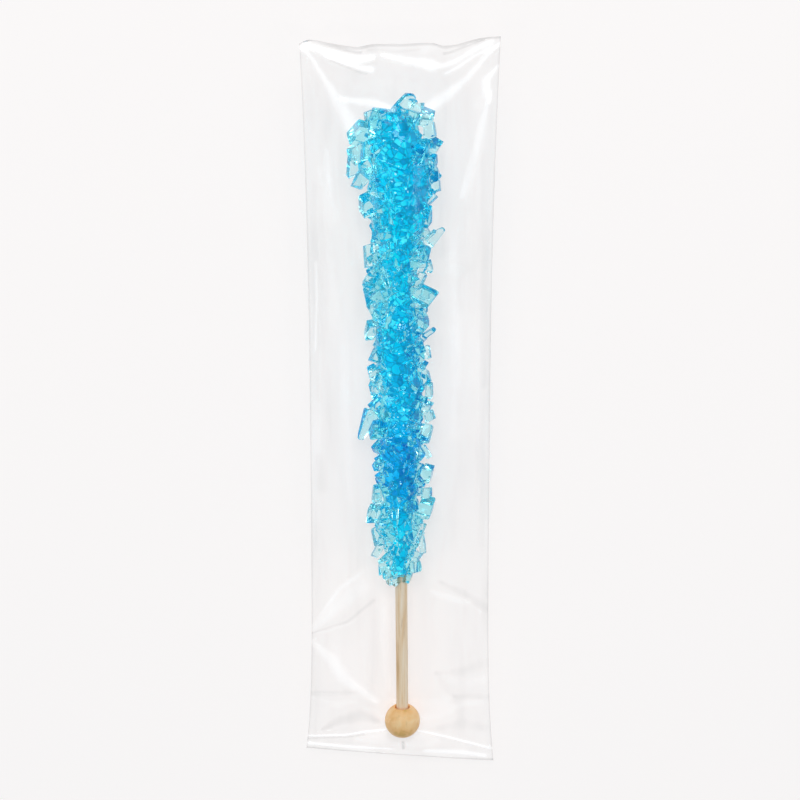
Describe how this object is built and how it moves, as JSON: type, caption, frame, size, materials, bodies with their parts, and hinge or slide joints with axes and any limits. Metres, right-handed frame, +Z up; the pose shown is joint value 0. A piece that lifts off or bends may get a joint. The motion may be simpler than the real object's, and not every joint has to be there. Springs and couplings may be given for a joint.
{
  "type": "rock candy stick in a bag",
  "caption": "Blue rock candy grown on a wooden stick with a ball end, sealed in a clear film bag; a sweet held by the ball and eaten off the stick",
  "frame": {"origin": "on the ground, under the middle of the bag as it lies on its back", "axes": "+X across the bag to its right side, +Y along it from the bead to the candy's head, +Z up out of the side that shows"},
  "size_m": [0.051, 0.2004, 0.0241],
  "materials": {
    "birch": "natural",
    "beech": "smooth",
    "blue_sugar": "crystalline",
    "clear_film": "clear film"
  },
  "bodies": {
    "root": {"stick": "birch", "bead": "beech", "rock_candy": "blue_sugar", "bag": "clear_film"}
  },
  "joints": []
}
